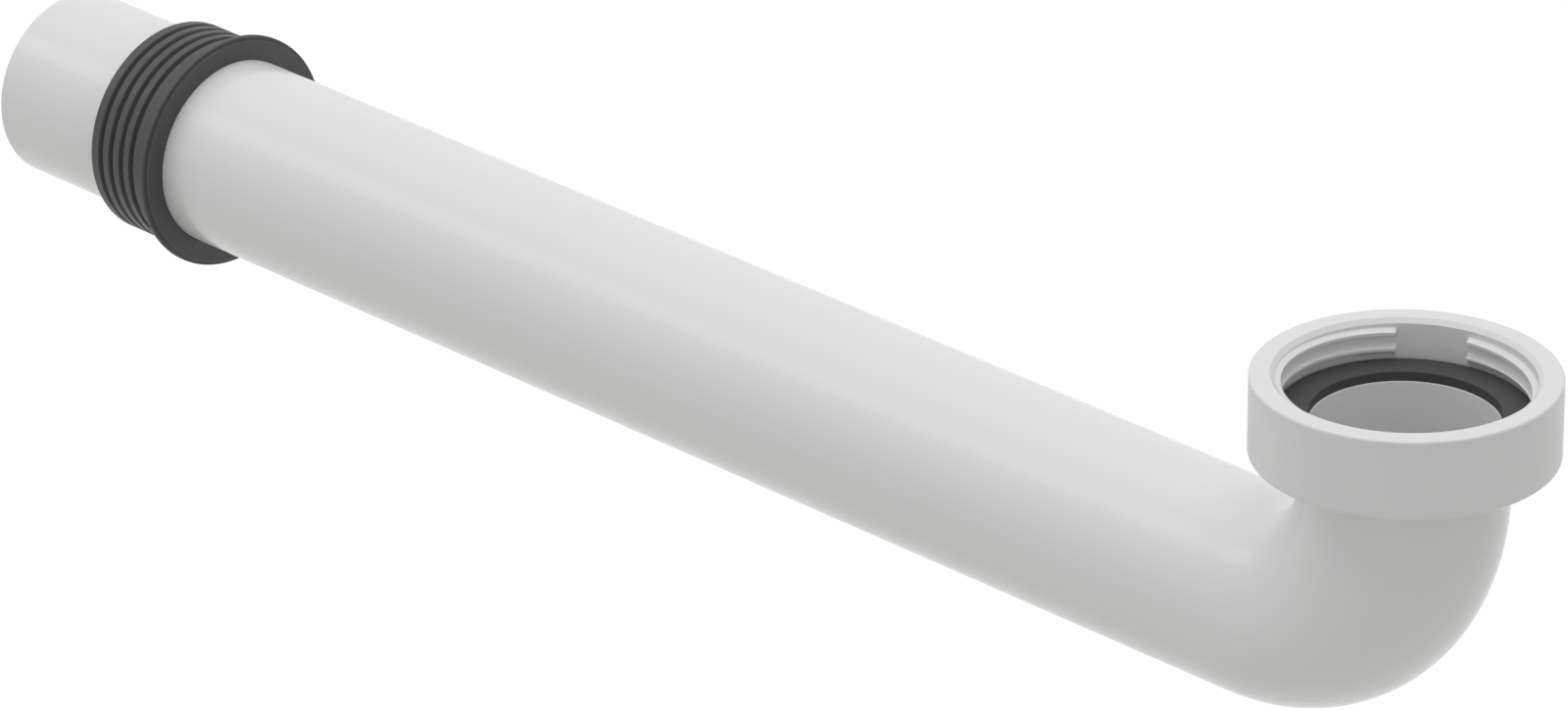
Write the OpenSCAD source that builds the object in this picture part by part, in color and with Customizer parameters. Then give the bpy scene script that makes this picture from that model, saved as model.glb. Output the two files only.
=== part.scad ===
// Basin waste pipe: a bent pipe with a union nut, a sealing washer and a ribbed rubber collar.
// The origin is the centre of the washer's upper face, where the mating tail seats.
// +Z points out of the nut's mouth and the arm runs along -X.

/* [Pipe] */
// Outside diameter of the pipe
pipe_od = 40; // [32:0.5:50]
// Wall thickness of the pipe
pipe_wall = 2.2; // [1.6:0.1:3]
// Length of the arm, from the nut's axis to the open end
arm_length = 380; // [150:5:600]
// Radius of the bend, measured at the middle of the pipe
bend_radius = 33.5; // [28:0.5:60]
// Straight length of the neck, from the bend to the underside of the flange
neck_length = 10; // [5:0.5:60]
// Rounding of the edges of the open end
end_round = 0.5; // [0.1:0.1:0.7]

/* [Flange] */
// Thickness of the flange that the nut pulls on
flange_thick = 3.5; // [2:0.1:6]
// How far the flange reaches over the floor of the nut
flange_seat = 2.5; // [1.5:0.1:4]
// Rounding of the edges of the flange
flange_round = 0.4; // [0.1:0.1:0.8]

/* [Washer] */
// Thickness of the sealing washer
washer_thick = 2; // [1:0.1:4]
// How much wider the hole of the washer is than the bore of the pipe, on the radius
washer_hole_gap = 0.2; // [0:0.1:1]
// Rounding of the edges of the washer
washer_round = 0.2; // [0.1:0.05:0.4]

/* [Union nut] */
// Overall height of the nut
nut_height = 16.2; // [13:0.1:30]
// Thickness of the floor of the nut, under the flange
nut_floor = 2.6; // [1.5:0.1:4]
// Wall of the nut, outside the plain bore
nut_wall = 4.85; // [3:0.05:8]
// Rounding of the lower outer edge
nut_foot_round = 1; // [0.2:0.1:1.5]
// Rounding of the upper outer edge
nut_rim_round = 0.5; // [0.2:0.1:1]
// Chamfer at the mouth
nut_mouth_chamfer = 0.9; // [0.3:0.1:2]

/* [Thread] */
// Pitch of the internal thread
thread_pitch = 3.25; // [2:0.05:5]
// Depth of the thread, from its crest to its root
thread_depth = 1.1; // [0.6:0.05:1.4]
// Width of the crest
thread_crest = 0.6; // [0.3:0.05:1]
// Width of each flank, measured along the axis
thread_flank = 0.6; // [0.3:0.05:0.8]
// Height of the thread's lower end above the washer
thread_start = 0.9; // [0.3:0.1:2]
// Number of gaps that break the thread
thread_gaps = 2; // [1:1:4]
// Angle of each gap
gap_angle = 32.5; // [10:0.5:60]
// Direction of the first gap, from +X
gap_direction = 120; // [0:1:359]

/* [Rubber collar] */
// Distance from the open end of the pipe to the near edge of the collar
collar_setback = 32.7; // [0:0.1:200]
// Radial thickness of the sleeve at its ribs
collar_wall = 2.9; // [2:0.1:5]
// Width of the first rib, at the end that goes into the wall
lead_width = 2.3; // [1:0.1:6]
// Number of grooves
groove_count = 4; // [2:1:8]
// Distance from one groove to the next
groove_pitch = 3.2; // [2:0.1:6]
// Depth of the grooves
groove_depth = 1; // [0.4:0.1:1.5]
// Width of a groove at the crest of the ribs
groove_width = 1.5; // [0.8:0.1:1.8]
// Width of a groove at its floor
groove_floor = 0.7; // [0.3:0.1:0.8]
// Width of the plain land between the last groove and the stop flange
land_width = 4.4; // [2:0.1:10]
// Thickness of the stop flange
stop_thick = 1.1; // [1:0.1:4]
// How far the stop flange stands out from the ribs
stop_reach = 2.2; // [1:0.1:6]
// How far the raised face stands in front of the stop flange
face_rise = 0.6; // [0.3:0.1:2]
// Width of the step between the raised face and the flange's outer edge
face_step = 0.9; // [0.5:0.1:1]
// Rounding of the end of the sleeve
lead_round = 0.4; // [0.1:0.05:0.5]
// Rounding of the edges of the stop flange and its face
stop_round = 0.25; // [0.1:0.05:0.3]

/* [Clearances] */
// Gap between the neck and the hole in the nut's floor, on the radius
nut_hole_gap = 0.75; // [0.3:0.05:1.5]
// Gap between the flange and the nut's plain bore, on the radius
flange_gap = 1.15; // [0.3:0.05:2]
// Gap between the washer and the nut's plain bore, on the radius
washer_gap = 0.5; // [0.3:0.05:1]
// Gap between the nut's floor and the flange, along the axis
nut_seat_gap = 0.3; // [0.1:0.05:0.5]
// Running gap between the collar and the pipe, on the radius
collar_gap = 0.05; // [0.02:0.01:0.1]

/* [Hidden] */
$fn = 96;

pipe_r = pipe_od / 2;
bore_r = pipe_r - pipe_wall;

// Heights on the nut's axis, counted from the seal face
washer_z = -washer_thick;
flange_z = washer_z - flange_thick;
bend_z = flange_z - neck_length;
arm_z = bend_z - bend_radius;
floor_top_z = flange_z - nut_seat_gap;
nut_z = floor_top_z - nut_floor;
nut_top_z = nut_z + nut_height;

// Radii about the nut's axis
nut_hole_r = pipe_r + nut_hole_gap;
flange_r = nut_hole_r + flange_seat;
plain_bore_r = flange_r + flange_gap;
washer_r = plain_bore_r - washer_gap;
nut_r = plain_bore_r + nut_wall;

// Thread: the crest is a true cylinder, and the groove between two crests is carried along a helix.
// The skin of the band stays on the plain bore, so the groove's flat steps never cut the bore.
thread_skin = 0.1;
thread_root_r = plain_bore_r - thread_skin;
crest_r = thread_root_r - thread_depth;
thread_top_z = nut_top_z - nut_mouth_chamfer;
steps_per_turn = 36;
// Where the groove starts: the height of its middle above the washer, beside the first gap
groove_rise = 3.57;
groove_direction = gap_direction + gap_angle / 2;

// How far a cutter or a fused part runs past the face that it meets
spill = 0.4;

// Radii and lengths of the collar, about the arm's axis
collar_bore_r = pipe_r + collar_gap;
rib_r = pipe_r + collar_wall;
stop_r = rib_r + stop_reach;
face_r = stop_r - face_step;
first_groove = lead_width + groove_width / 2;
land_start = lead_width + groove_width + (groove_count - 1) * groove_pitch;
stop_start = land_start + land_width;
stop_end = stop_start + stop_thick;
collar_length = stop_end + face_rise;

pipe_colour = "white";
nut_colour = "whitesmoke";
rubber_colour = "dimgray";

// Cuts a quarter round of radius r off the corner at the origin, whose edges run along sx and sy
module corner_round(r, sx, sy) {
    difference() {
        translate([sx > 0 ? -spill : -r, sy > 0 ? -spill : -r])
            square(r + spill);
        translate([sx * r, sy * r])
            circle(r);
    }
}

// Rectangle from (x0, y0) to (x1, y1)
module span(x0, y0, x1, y1) {
    translate([x0, y0])
        square([x1 - x0, y1 - y0]);
}

// Ring section of one straight length of pipe, from height z0 to z1
module tube(z0, z1) {
    rotate_extrude()
        span(bore_r, z0, pipe_r, z1);
}

// Half section of the flange, with its edges rounded
module flange_section() {
    difference() {
        span(bore_r, flange_z, flange_r, washer_z);
        translate([flange_r, flange_z])
            corner_round(flange_round, -1, 1);
        translate([flange_r, washer_z])
            corner_round(flange_round, -1, -1);
    }
}

// Section of the arm about its own axis, from the bend to the open end
module arm_section() {
    difference() {
        span(bore_r, bend_radius, pipe_r, arm_length);
        translate([pipe_r, arm_length])
            corner_round(end_round, -1, -1);
        translate([bore_r, arm_length])
            corner_round(end_round, 1, -1);
    }
}

// The bent pipe: neck and flange, a quarter of a ring for the bend, and the arm
module waste_pipe() {
    color(pipe_colour)
        union() {
            rotate_extrude()
                flange_section();
            tube(bend_z, flange_z);
            translate([-bend_radius, 0, bend_z])
                rotate([90, 0, 0])
                    rotate_extrude(angle = -90)
                        translate([bend_radius, 0])
                            difference() {
                                circle(pipe_r);
                                circle(bore_r);
                            }
            translate([0, 0, arm_z])
                rotate([0, -90, 0])
                    rotate_extrude()
                        arm_section();
        }
}

// Half section of the nut without its thread
module nut_section() {
    difference() {
        span(nut_hole_r, nut_z, nut_r, nut_top_z);
        span(0, floor_top_z, plain_bore_r, nut_top_z + spill);
        polygon([
            [plain_bore_r - spill, thread_top_z - spill],
            [plain_bore_r + nut_mouth_chamfer + spill, nut_top_z + spill],
            [plain_bore_r - spill, nut_top_z + spill]
        ]);
        translate([nut_r, nut_z])
            corner_round(nut_foot_round, -1, 1);
        translate([nut_r, nut_top_z])
            corner_round(nut_rim_round, -1, -1);
    }
}

// Half section of the band that the thread is cut in, with both ends sloped like the flanks
module thread_band_section() {
    band_top_z = thread_top_z - thread_skin;
    polygon([
        [crest_r, thread_start + thread_flank],
        [plain_bore_r, thread_start],
        [plain_bore_r + spill, thread_start],
        [plain_bore_r + spill, band_top_z],
        [plain_bore_r, band_top_z],
        [crest_r, band_top_z - thread_flank]
    ]);
}

// One side of the groove at radius r: half its width along the axis
function groove_half(r) =
    (thread_pitch - thread_crest) / 2 - thread_flank * (r - crest_r) / thread_depth;

// Corner k of the groove's section after turn t (in turns), on the right-handed helix
function groove_point(t, k) =
    let (
        r = k < 2 ? crest_r - spill : thread_root_r,
        side = (k == 0 || k == 3) ? -1 : 1,
        a = groove_direction + 360 * t,
        z = groove_rise + thread_pitch * t + side * groove_half(r)
    )
    [r * cos(a), r * sin(a), z];

// Helical groove between the crests, as one closed sweep of a four-sided section
module thread_groove() {
    t0 = (thread_start - groove_rise) / thread_pitch - 0.5;
    t1 = (thread_top_z - groove_rise) / thread_pitch + 0.5;
    n = ceil((t1 - t0) * steps_per_turn);
    points = [
        for (i = [0:n])
            for (k = [0:3])
                groove_point(t0 + (t1 - t0) * i / n, k)
    ];
    sides = [
        for (i = [0:n - 1])
            for (k = [0:3])
                let (a = 4 * i + k, b = 4 * i + (k + 1) % 4)
                    [a, a + 4, b + 4, b]
    ];
    ends = [[0, 1, 2, 3], [4 * n + 3, 4 * n + 2, 4 * n + 1, 4 * n]];
    polyhedron(points, concat(sides, ends));
}

// The thread: sectors of the band between the gaps, with the helical groove cut out
module thread() {
    sector = 360 / thread_gaps - gap_angle;
    difference() {
        for (i = [0:thread_gaps - 1])
            rotate([0, 0, gap_direction + gap_angle / 2 + i * 360 / thread_gaps])
                rotate_extrude(angle = sector)
                    thread_band_section();
        thread_groove();
    }
}

// The union nut, with its thread
module union_nut() {
    color(nut_colour)
        union() {
            rotate_extrude()
                nut_section();
            thread();
        }
}

// The flat washer on the flange
module sealing_washer() {
    hole_r = bore_r + washer_hole_gap;
    color(rubber_colour)
        rotate_extrude()
            difference() {
                span(hole_r, washer_z, washer_r, 0);
                translate([washer_r, 0])
                    corner_round(washer_round, -1, -1);
                translate([hole_r, 0])
                    corner_round(washer_round, 1, -1);
            }
}

// Half section of the ribbed collar: the sleeve, its grooves, the stop flange and its raised face
module collar_section() {
    difference() {
        union() {
            span(collar_bore_r, 0, rib_r, stop_end);
            span(collar_bore_r, stop_start, stop_r, stop_end);
            span(collar_bore_r, stop_start, face_r, collar_length);
        }
        for (i = [0:groove_count - 1])
            translate([rib_r, first_groove + i * groove_pitch])
                polygon([
                    [spill, -groove_width / 2],
                    [0, -groove_width / 2],
                    [-groove_depth, -groove_floor / 2],
                    [-groove_depth, groove_floor / 2],
                    [0, groove_width / 2],
                    [spill, groove_width / 2]
                ]);
        translate([rib_r, 0])
            corner_round(lead_round, -1, 1);
        translate([stop_r, stop_start])
            corner_round(stop_round, -1, 1);
        translate([stop_r, stop_end])
            corner_round(stop_round, -1, -1);
        translate([face_r, collar_length])
            corner_round(stop_round, -1, -1);
    }
}

// The ribbed rubber collar on the arm, with its stop flange towards the bend
module rubber_collar() {
    color(rubber_colour)
        translate([collar_setback - arm_length, 0, arm_z])
            rotate([0, 90, 0])
                rotate_extrude()
                    collar_section();
}

waste_pipe();
union_nut();
sealing_washer();
rubber_collar();
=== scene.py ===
"""Basin waste pipe: the bent pipe, its union nut, the sealing washer and the ribbed wall collar.

Every piece is a surface worked out with numpy in millimetres, in the frame of the CAD model:
the origin is the centre of the washer's upper face, +Z leaves the nut's mouth, the arm runs along -X.
"""

import bpy
import numpy as np
from mathutils import Matrix, Vector


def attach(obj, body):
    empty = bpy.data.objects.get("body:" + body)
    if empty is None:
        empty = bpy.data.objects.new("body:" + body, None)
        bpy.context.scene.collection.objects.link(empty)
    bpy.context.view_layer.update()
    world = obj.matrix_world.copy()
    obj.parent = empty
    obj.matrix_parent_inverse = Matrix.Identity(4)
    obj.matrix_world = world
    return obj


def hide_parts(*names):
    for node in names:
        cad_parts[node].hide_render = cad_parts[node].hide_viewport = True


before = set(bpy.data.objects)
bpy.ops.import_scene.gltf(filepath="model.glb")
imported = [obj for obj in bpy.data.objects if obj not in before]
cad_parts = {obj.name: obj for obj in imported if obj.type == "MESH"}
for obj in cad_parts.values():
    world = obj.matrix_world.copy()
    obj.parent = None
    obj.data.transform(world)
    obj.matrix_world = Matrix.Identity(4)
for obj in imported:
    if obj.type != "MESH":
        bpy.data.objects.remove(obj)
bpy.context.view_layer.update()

MM = 0.001
TURN = 2 * np.pi

# ---------------------------------------------------------------- sizes, in mm
PIPE_R = 20.0
BORE_R = 17.8
ARM_LENGTH = 380.0
BEND_R = 33.5
WASHER_Z = -2.0
FLANGE_THICK = 3.5
FLANGE_R = 23.25
NECK = 10.0
WASHER_R = 23.9
WASHER_HOLE_R = 18.0
NUT_HOLE_R = 20.75
NUT_BORE_R = 24.4
NUT_R = 29.25
NUT_Z = -8.4
NUT_FLOOR_Z = -5.8
NUT_TOP_Z = 7.8
THREAD_ROOT_R = 24.3
THREAD_DEPTH = 1.1
THREAD_PITCH = 3.25
THREAD_Z = (0.9, 6.8)
THREAD_FLANK = 0.6
GROOVE_Z = 3.57
GROOVE_START = np.radians(136.25)
GROOVE_HALF = 0.725
GAPS = np.radians([120.0, 300.0])
GAP_HALF = np.radians(16.25)
COLLAR_X = -347.3
COLLAR_BORE_R = 20.05
RIB_R = 22.9
STOP_R = 25.1
FACE_R = 24.2
GROOVE_X = (3.05, 6.25, 9.45, 12.65)
STOP_X = (17.8, 18.9)
COLLAR_LENGTH = 19.5


# ---------------------------------------------------------------- surfaces
def rounded(corners, arc_points=6, edge=0.06):
    """Closed section through corners (a, b, radius), each corner turned into an arc.

    The arc's centre lies on the bisector at radius / sin(half the angle), and its ends lie at
    radius / tan(half the angle) along the sides. One more point past each end of the arc keeps the
    flats flat when the surface is shaded smooth.
    """
    corners = np.array(corners, float)
    p = corners[:, :2]
    r = corners[:, 2]
    to_last = np.roll(p, 1, 0) - p
    to_next = np.roll(p, -1, 0) - p
    u = to_last / np.linalg.norm(to_last, axis=1)[:, None]
    w = to_next / np.linalg.norm(to_next, axis=1)[:, None]
    half = np.arccos(np.clip((u * w).sum(1), -1, 1)) / 2
    middle = (u + w) / np.linalg.norm(u + w, axis=1)[:, None]
    centre = p + middle * (r / np.sin(half))[:, None]
    tangent = r / np.tan(half)
    first = p + u * tangent[:, None] - centre
    last = p + w * tangent[:, None] - centre
    sweep = np.pi - 2 * half
    t = np.linspace(0, 1, arc_points)[None, :, None]
    s = sweep[:, None, None]
    arcs = centre[:, None] + (np.sin((1 - t) * s) * first[:, None] + np.sin(t * s) * last[:, None]) / np.sin(s)
    before = p + u * (tangent + edge)[:, None]
    after = p + w * (tangent + edge)[:, None]
    return np.concatenate([before[:, None], arcs, after[:, None]], 1).reshape(-1, 2)


def filled(section, longest):
    """The closed section with points added, so that no side is longer than the given length."""
    ahead = np.roll(section, -1, 0)
    count = np.maximum(1, np.ceil(np.linalg.norm(ahead - section, axis=1) / longest)).astype(int)
    start = np.repeat(np.arange(len(section)), count)
    step = np.arange(len(start)) - np.repeat(np.cumsum(count) - count, count)
    share = (step / np.repeat(count, count))[:, None]
    return section[start] * (1 - share) + ahead[start] * share


def surface(name, points, outwards):
    """Mesh of a grid of points that closes on itself both ways. outwards turns the faces round."""
    rows, columns = points.shape[:2]
    i, j = np.meshgrid(np.arange(rows), np.arange(columns), indexing="ij")
    i2, j2 = (i + 1) % rows, (j + 1) % columns
    corners = [i * columns + j, i * columns + j2, i2 * columns + j2, i2 * columns + j]
    if not outwards:
        corners.reverse()
    faces = np.stack(corners, -1).reshape(-1, 4)
    mesh = bpy.data.meshes.new(name)
    mesh.vertices.add(rows * columns)
    mesh.vertices.foreach_set("co", (points.reshape(-1) * MM).astype(np.float32))
    mesh.loops.add(faces.size)
    mesh.loops.foreach_set("vertex_index", faces.reshape(-1).astype(np.int32))
    mesh.polygons.add(len(faces))
    mesh.polygons.foreach_set("loop_start", (np.arange(len(faces)) * 4).astype(np.int32))
    mesh.polygons.foreach_set("use_smooth", np.ones(len(faces), bool))
    mesh.update(calc_edges=True)
    mesh.validate()
    piece = bpy.data.objects.new(name, mesh)
    bpy.context.scene.collection.objects.link(piece)
    return piece


def turned(name, section, angles, place, outwards):
    """Surface of revolution: each point (r, h) of the section at each angle, set in place by place(x, y, h)."""
    r, h = section[:, 0][None], section[:, 1][None]
    a = angles[:, None]
    return surface(name, place(r * np.cos(a), r * np.sin(a), h + 0 * a), outwards)


def upright(x, y, h):
    """Sets a turned piece on the nut's axis."""
    return np.stack([x, y, h], -1)


def along_arm(x, y, h):
    """Sets a turned piece on the arm's axis, with its length towards +X."""
    return np.stack([COLLAR_X + h, y, WASHER_Z - FLANGE_THICK - NECK - BEND_R - x], -1)


def bent_pipe():
    """Section (distance along the pipe, radius) carried round and along the centre line.

    The centre line runs down the neck, round a quarter circle and out along the arm. At distance s
    the ring of radius r stands square to it, with its first spoke pointing away from the bend's centre.
    """
    neck_end = FLANGE_THICK + NECK
    bend_end = neck_end + BEND_R * np.pi / 2
    end = bend_end + ARM_LENGTH - BEND_R
    section = filled(rounded([
        (0, BORE_R, 0.15),
        (end, BORE_R, 0.5),
        (end, PIPE_R, 0.5),
        (FLANGE_THICK, PIPE_R, 0.3),
        (FLANGE_THICK, FLANGE_R, 0.4),
        (0, FLANGE_R, 0.4),
    ]), 1.5)
    s, r = section[:, 0], section[:, 1]
    turn = np.clip((s - neck_end) / BEND_R, 0, np.pi / 2)
    bend_z = WASHER_Z - neck_end
    centre_x = BEND_R * (np.cos(turn) - 1) - np.maximum(s - bend_end, 0)
    centre_z = bend_z - BEND_R * np.sin(turn) + np.maximum(neck_end - s, 0)
    a = np.linspace(0, TURN, 160, endpoint=False)[:, None]
    spoke = r * np.cos(a)
    points = np.stack([centre_x + spoke * np.cos(turn), r * np.sin(a), centre_z - spoke * np.sin(turn)], -1)
    return surface("waste_pipe_skin", points, True)


def ridge(theta, z):
    """Height of the thread, from 0 at its root to 1 at its crest.

    The groove's middle climbs one pitch a turn. The ridge rises over the flank's width from the
    groove, falls off over the same width at both ends, and stops steeply at the gaps.
    """
    lead = (z - GROOVE_Z) / THREAD_PITCH - (theta - GROOVE_START) / TURN
    from_groove = np.abs(lead - np.round(lead)) * THREAD_PITCH
    flank = (from_groove - GROOVE_HALF) / THREAD_FLANK
    low = (z - THREAD_Z[0]) / THREAD_FLANK
    high = (THREAD_Z[1] - z) / THREAD_FLANK
    rise = np.clip(np.minimum(flank, np.minimum(low, high)), 0, 1)
    rise = 0.5 * rise + 0.5 * rise * rise * (3 - 2 * rise)
    away = np.abs((theta[..., None] - GAPS + np.pi) % TURN - np.pi).min(-1) - GAP_HALF
    wall = np.clip(away * THREAD_ROOT_R / 0.25, 0, 1)
    return rise * wall


def union_nut():
    """Section of the nut turned about Z, with the thread's ridge standing in from its bore."""
    section = rounded([
        (NUT_HOLE_R, NUT_Z, 0.3),
        (NUT_R, NUT_Z, 1.0),
        (NUT_R, NUT_TOP_Z, 0.5),
        (NUT_BORE_R + 0.9, NUT_TOP_Z, 0.15),
        (NUT_BORE_R, NUT_TOP_Z - 0.9, 0.15),
        (NUT_BORE_R, NUT_FLOOR_Z, 0.2),
        (NUT_HOLE_R, NUT_FLOOR_Z, 0.15),
    ])
    section = filled(section, 1.2)
    r, z = section[:, 0], section[:, 1]
    bore = (np.abs(r - NUT_BORE_R) < 1e-6) & (z > THREAD_Z[0] - 0.4) & (z < THREAD_Z[1] + 0.1)
    where = np.flatnonzero(bore)
    fine_z = np.linspace(z[where[0]], z[where[-1]], 96)
    fine = np.stack([np.full(len(fine_z), NUT_BORE_R), fine_z], -1)
    section = np.concatenate([section[:where[0]], fine, section[where[-1] + 1:]])
    ends = (GAPS[:, None] + np.array([-1, 1]) * GAP_HALF).reshape(-1)
    edge = np.linspace(-0.012, 0.012, 13)
    a = np.concatenate([np.linspace(0, TURN, 360, endpoint=False), (ends[:, None] + edge).reshape(-1) % TURN])
    a = np.unique(np.round(a, 5))
    theta, z = np.meshgrid(a, section[:, 1], indexing="ij")
    r = np.broadcast_to(section[:, 0], z.shape)
    inner = np.abs(r - NUT_BORE_R) < 1e-6
    r = r - np.where(inner, ridge(theta, z) * (NUT_BORE_R - THREAD_ROOT_R + THREAD_DEPTH), 0)
    points = np.stack([r * np.cos(theta), r * np.sin(theta), z], -1)
    return surface("union_nut_skin", points, False)


def sealing_washer():
    """Flat ring with softly rounded edges."""
    section = filled(rounded([
        (WASHER_HOLE_R, WASHER_Z, 0.05),
        (WASHER_R, WASHER_Z, 0.05),
        (WASHER_R, 0, 0.2),
        (WASHER_HOLE_R, 0, 0.2),
    ]), 1.0)
    return turned("sealing_washer_skin", section, np.linspace(0, TURN, 192, endpoint=False), upright, False)


def ribbed_collar():
    """Sleeve with four grooves, the stop flange and its raised face, turned about the arm."""
    corners = [(COLLAR_BORE_R, 0, 0.15), (COLLAR_BORE_R, COLLAR_LENGTH, 0.15), (FACE_R, COLLAR_LENGTH, 0.25),
               (FACE_R, STOP_X[1], 0.1), (STOP_R, STOP_X[1], 0.25), (STOP_R, STOP_X[0], 0.25),
               (RIB_R, STOP_X[0], 0.15)]
    for x in reversed(GROOVE_X):
        corners += [(RIB_R, x + 0.75, 0.15), (RIB_R - 1, x + 0.35, 0.15),
                    (RIB_R - 1, x - 0.35, 0.15), (RIB_R, x - 0.75, 0.15)]
    corners.append((RIB_R, 0, 0.4))
    section = filled(rounded(corners, edge=0.04), 0.6)
    return turned("rubber_collar_skin", section, np.linspace(0, TURN, 256, endpoint=False), along_arm, False)


# ---------------------------------------------------------------- materials
def linear(hex_colour):
    """Linear RGBA of an sRGB hex colour."""
    c = np.array([int(hex_colour[i:i + 2], 16) for i in (1, 3, 5)]) / 255
    c = np.where(c <= 0.04045, c / 12.92, ((c + 0.055) / 1.055) ** 2.4)
    return (*map(float, c), 1.0)


def add(tree, kind, links=None, values=None, **settings):
    """Adds a node with its settings, its constant input values, and its links from other sockets."""
    made = tree.nodes.new(kind)
    for key, value in settings.items():
        setattr(made, key, value)
    for key, value in (values or {}).items():
        made.inputs[key].default_value = value
    for key, socket in (links or {}).items():
        tree.links.new(socket, made.inputs[key])
    return made


def moulded(name, pale, deep, cloud_mm, roughness, gloss_mm, grain_mm, grain_depth_mm, ior, shell=None):
    """A moulded material: a faint cloud between two colours, a roughness that wanders, and a grain.

    cloud_mm, gloss_mm and grain_mm are the widths of the three patterns on the real surface.
    """
    material = bpy.data.materials.new(name)
    material.use_nodes = True
    tree = material.node_tree
    shader = tree.nodes["Principled BSDF"]
    shader.inputs["IOR"].default_value = ior
    place = add(tree, "ShaderNodeTexCoord").outputs["Object"]
    cloud = add(tree, "ShaderNodeTexNoise", {"Vector": place}, {"Scale": 1 / (cloud_mm * MM), "Detail": 3.0})
    colour = add(tree, "ShaderNodeMix", {0: cloud.outputs["Fac"]}, {6: linear(pale), 7: linear(deep)}, data_type="RGBA")
    tree.links.new(colour.outputs[2], shader.inputs["Base Color"])
    wander = add(tree, "ShaderNodeTexNoise", {"Vector": place}, {"Scale": 1 / (gloss_mm * MM), "Detail": 2.0})
    rough = add(tree, "ShaderNodeMapRange", {"Value": wander.outputs["Fac"]},
                {"From Min": 0.3, "From Max": 0.7, "To Min": roughness[0], "To Max": roughness[1]})
    tree.links.new(rough.outputs["Result"], shader.inputs["Roughness"])
    grain = add(tree, "ShaderNodeTexNoise", {"Vector": place}, {"Scale": 1 / (grain_mm * MM), "Detail": 4.0})
    bump = add(tree, "ShaderNodeBump", {"Height": grain.outputs["Fac"]},
               {"Strength": 1.0, "Distance": grain_depth_mm * MM})
    tree.links.new(bump.outputs["Normal"], shader.inputs["Normal"])
    return material


# Polypropylene, injection moulded against polished steel: white and glossy, with clean long reflections.
glossy_polypropylene = moulded("glossy_moulded_polypropylene", "#EFEFEF", "#ECECEC", 60, (0.20, 0.26), 9, 1.6, 0.002, 1.49)
# Polypropylene, moulded against finer-ground steel: the nut has the same white and a softer gloss.
satin_polypropylene = moulded("satin_moulded_polypropylene", "#EEEEEE", "#EAEAEA", 40, (0.34, 0.42), 5, 0.9, 0.003, 1.49)
# EPDM rubber, cut from sheet: dark grey and matt, with a fine even grain.
matt_epdm = moulded("matt_cut_epdm_rubber", "#434343", "#3C3C3C", 8, (0.62, 0.72), 3, 0.5, 0.012, 1.5)
# EPDM rubber, compression moulded: dark grey with a satin skin that catches the light on the ribs.
satin_epdm = moulded("satin_moulded_epdm_rubber", "#4A4A4A", "#434343", 12, (0.45, 0.55), 4, 0.7, 0.008, 1.5)

# ---------------------------------------------------------------- the pieces
for piece, node, body, slot, material in (
    (bent_pipe(), "waste_pipe", "pipe", "pipe_plastic", glossy_polypropylene),
    (union_nut(), "union_nut", "nut", "nut_plastic", satin_polypropylene),
    (sealing_washer(), "sealing_washer", "pipe", "washer_rubber", matt_epdm),
    (ribbed_collar(), "rubber_collar", "collar", "collar_rubber", satin_epdm),
):
    piece.data.materials.append(material)
    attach(piece, body)
    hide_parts(node)

# ---------------------------------------------------------------- studio
FLOOR_Z = -300.0
FLOOR_SIZE = 6000.0


def studio_floor():
    """Square floor well below the part, white to the camera where no shadow falls."""
    half = FLOOR_SIZE / 2
    x, y = np.meshgrid(np.linspace(-half, half, 3), np.linspace(-half, half, 3), indexing="ij")
    points = np.stack([x, y, np.full_like(x, FLOOR_Z)], -1).reshape(-1, 3) * MM
    faces = [(3 * i + j, 3 * i + 3 + j, 3 * i + 4 + j, 3 * i + 1 + j) for i in range(2) for j in range(2)]
    mesh = bpy.data.meshes.new("floor")
    mesh.from_pydata(points.tolist(), [], faces)
    floor = bpy.data.objects.new("floor", mesh)
    bpy.context.scene.collection.objects.link(floor)
    material = bpy.data.materials.new("pale_painted_board")
    material.use_nodes = True
    tree = material.node_tree
    tree.nodes.remove(tree.nodes["Principled BSDF"])
    shade = add(tree, "ShaderNodeBsdfDiffuse", values={"Color": linear("#D2D2D0")})
    level = add(tree, "ShaderNodeMath", {0: background_rays(tree)}, {1: FLOOR_GLOW}, operation="MULTIPLY")
    glow = add(tree, "ShaderNodeEmission", {"Strength": level.outputs[0]})
    both = add(tree, "ShaderNodeAddShader", {0: shade.outputs[0], 1: glow.outputs[0]})
    tree.links.new(both.outputs[0], tree.nodes["Material Output"].inputs["Surface"])
    mesh.materials.append(material)


def background_rays(tree):
    """1 for camera, glossy and transmission rays, which see the white background."""
    path = add(tree, "ShaderNodeLightPath")
    first = add(tree, "ShaderNodeMath", {0: path.outputs["Is Camera Ray"], 1: path.outputs["Is Glossy Ray"]},
                operation="MAXIMUM")
    return add(tree, "ShaderNodeMath", {0: first.outputs[0], 1: path.outputs["Is Transmission Ray"]},
               operation="MAXIMUM").outputs[0]


FLOOR_GLOW = 0.6
WORLD_LEVEL = 0.5
KEY = 1.0
TOP = 1.0
FRONT = 0.0


def studio_world():
    """White background, and an even grey light from all round."""
    world = bpy.data.worlds.new("studio")
    bpy.context.scene.world = world
    world.use_nodes = True
    tree = world.node_tree
    level = add(tree, "ShaderNodeMapRange", {"Value": background_rays(tree)},
                {"From Min": 0.0, "From Max": 1.0, "To Min": WORLD_LEVEL, "To Max": 1.0})
    tree.links.new(level.outputs["Result"], tree.nodes["Background"].inputs["Strength"])
    tree.nodes["Background"].inputs["Color"].default_value = (1, 1, 1, 1)


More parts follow.
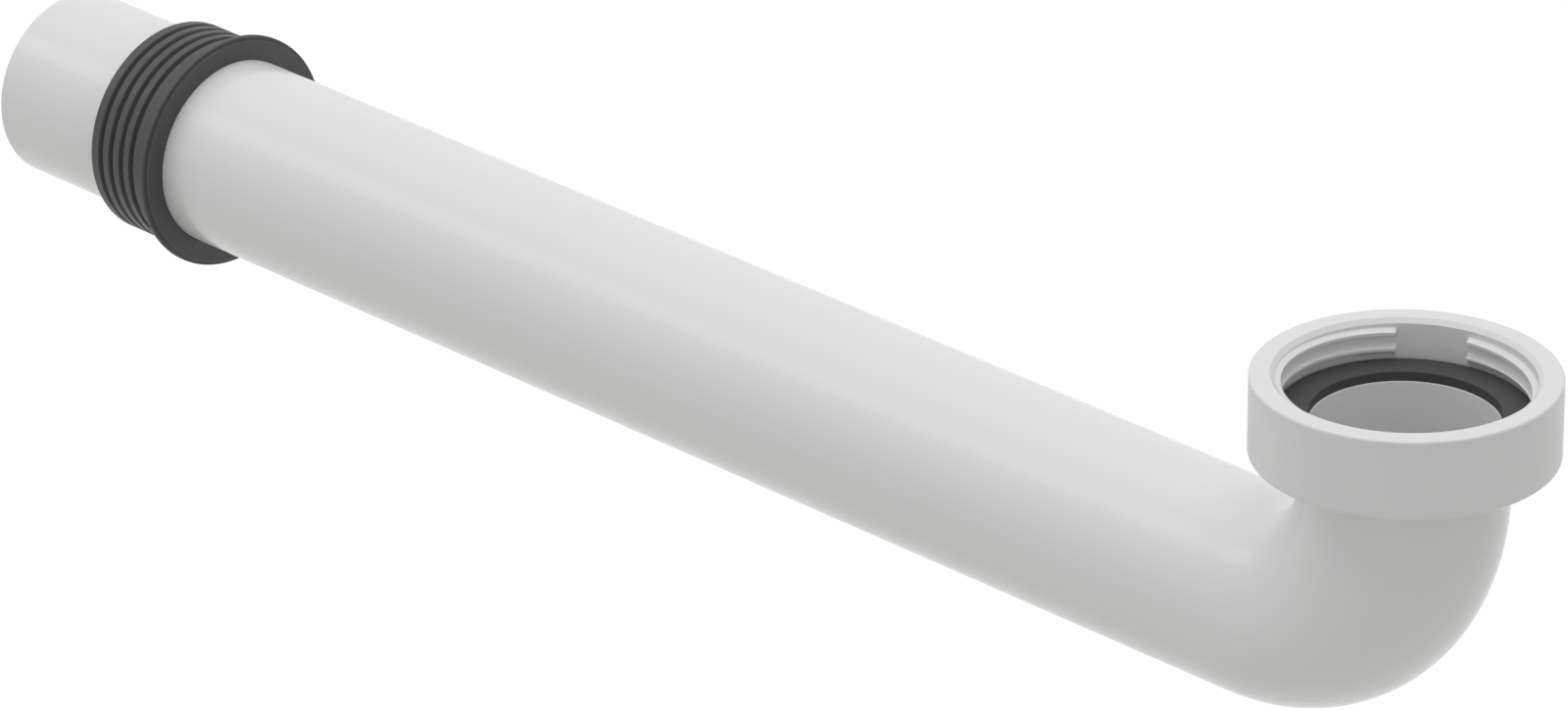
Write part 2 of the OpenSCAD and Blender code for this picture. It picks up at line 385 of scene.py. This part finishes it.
def softbox(name, centre, aim, size, radiance, along=None):
    """Rectangular lamp at centre (mm), facing aim, of width and height size, that shines evenly at the given radiance."""
    lamp = bpy.data.lights.new(name, "AREA")
    lamp.shape = "RECTANGLE"
    lamp.size, lamp.size_y = size[0] * MM, size[1] * MM
    lamp.energy = radiance * np.pi * size[0] * size[1] * MM * MM
    box = bpy.data.objects.new(name, lamp)
    back = (Vector(centre) - Vector(aim)).normalized()
    side = (Vector(along or (1, 0, 0)) - back * Vector(along or (1, 0, 0)).dot(back)).normalized()
    up = back.cross(side)
    box.matrix_world = Matrix(((side.x, up.x, back.x, centre[0] * MM), (side.y, up.y, back.y, centre[1] * MM),
                               (side.z, up.z, back.z, centre[2] * MM), (0, 0, 0, 1)))
    bpy.context.scene.collection.objects.link(box)


def photo_camera():
    """Camera at the photograph's viewing angle."""
    azimuth, elevation, roll = np.radians((45.4856, 24.9533, -0.2258))
    back = np.array([np.sin(azimuth) * np.cos(elevation), -np.cos(azimuth) * np.cos(elevation), np.sin(elevation)])
    target = np.array([-163.8645, 0.0, -42.1554])
    place = (target + back * 1865.936) * MM
    level = np.cross([0, 0, 1], back)
    level /= np.linalg.norm(level)
    rise = np.cross(back, level)
    right = level * np.cos(roll) + rise * np.sin(roll)
    up = rise * np.cos(roll) - level * np.sin(roll)
    lens = bpy.data.cameras.new("camera")
    lens.sensor_width = 36.0
    lens.lens = 9616.574 / 1600 * lens.sensor_width
    lens.clip_start, lens.clip_end = 0.05, 50.0
    camera = bpy.data.objects.new("camera", lens)
    camera.matrix_world = Matrix([(*map(float, row), float(p)) for row, p in zip(np.stack([right, up, back], 1), place)]
                                 + [(0, 0, 0, 1)])
    bpy.context.scene.collection.objects.link(camera)
    bpy.context.scene.camera = camera


studio_floor()
studio_world()
KEY_AT = (-1500.0, -820.0, 1180.0)
softbox("key", KEY_AT, (-150, 0, -49), (2200, 520), KEY, (1, 0, 0))
softbox("top", (-150, 0, 1500), (-150, 0, 0), (1800, 1800), TOP)
softbox("front", (900, -1500, 500), (-150, 0, 0), (900, 900), FRONT)
photo_camera()

bpy.context.scene.view_settings.view_transform = "Standard"
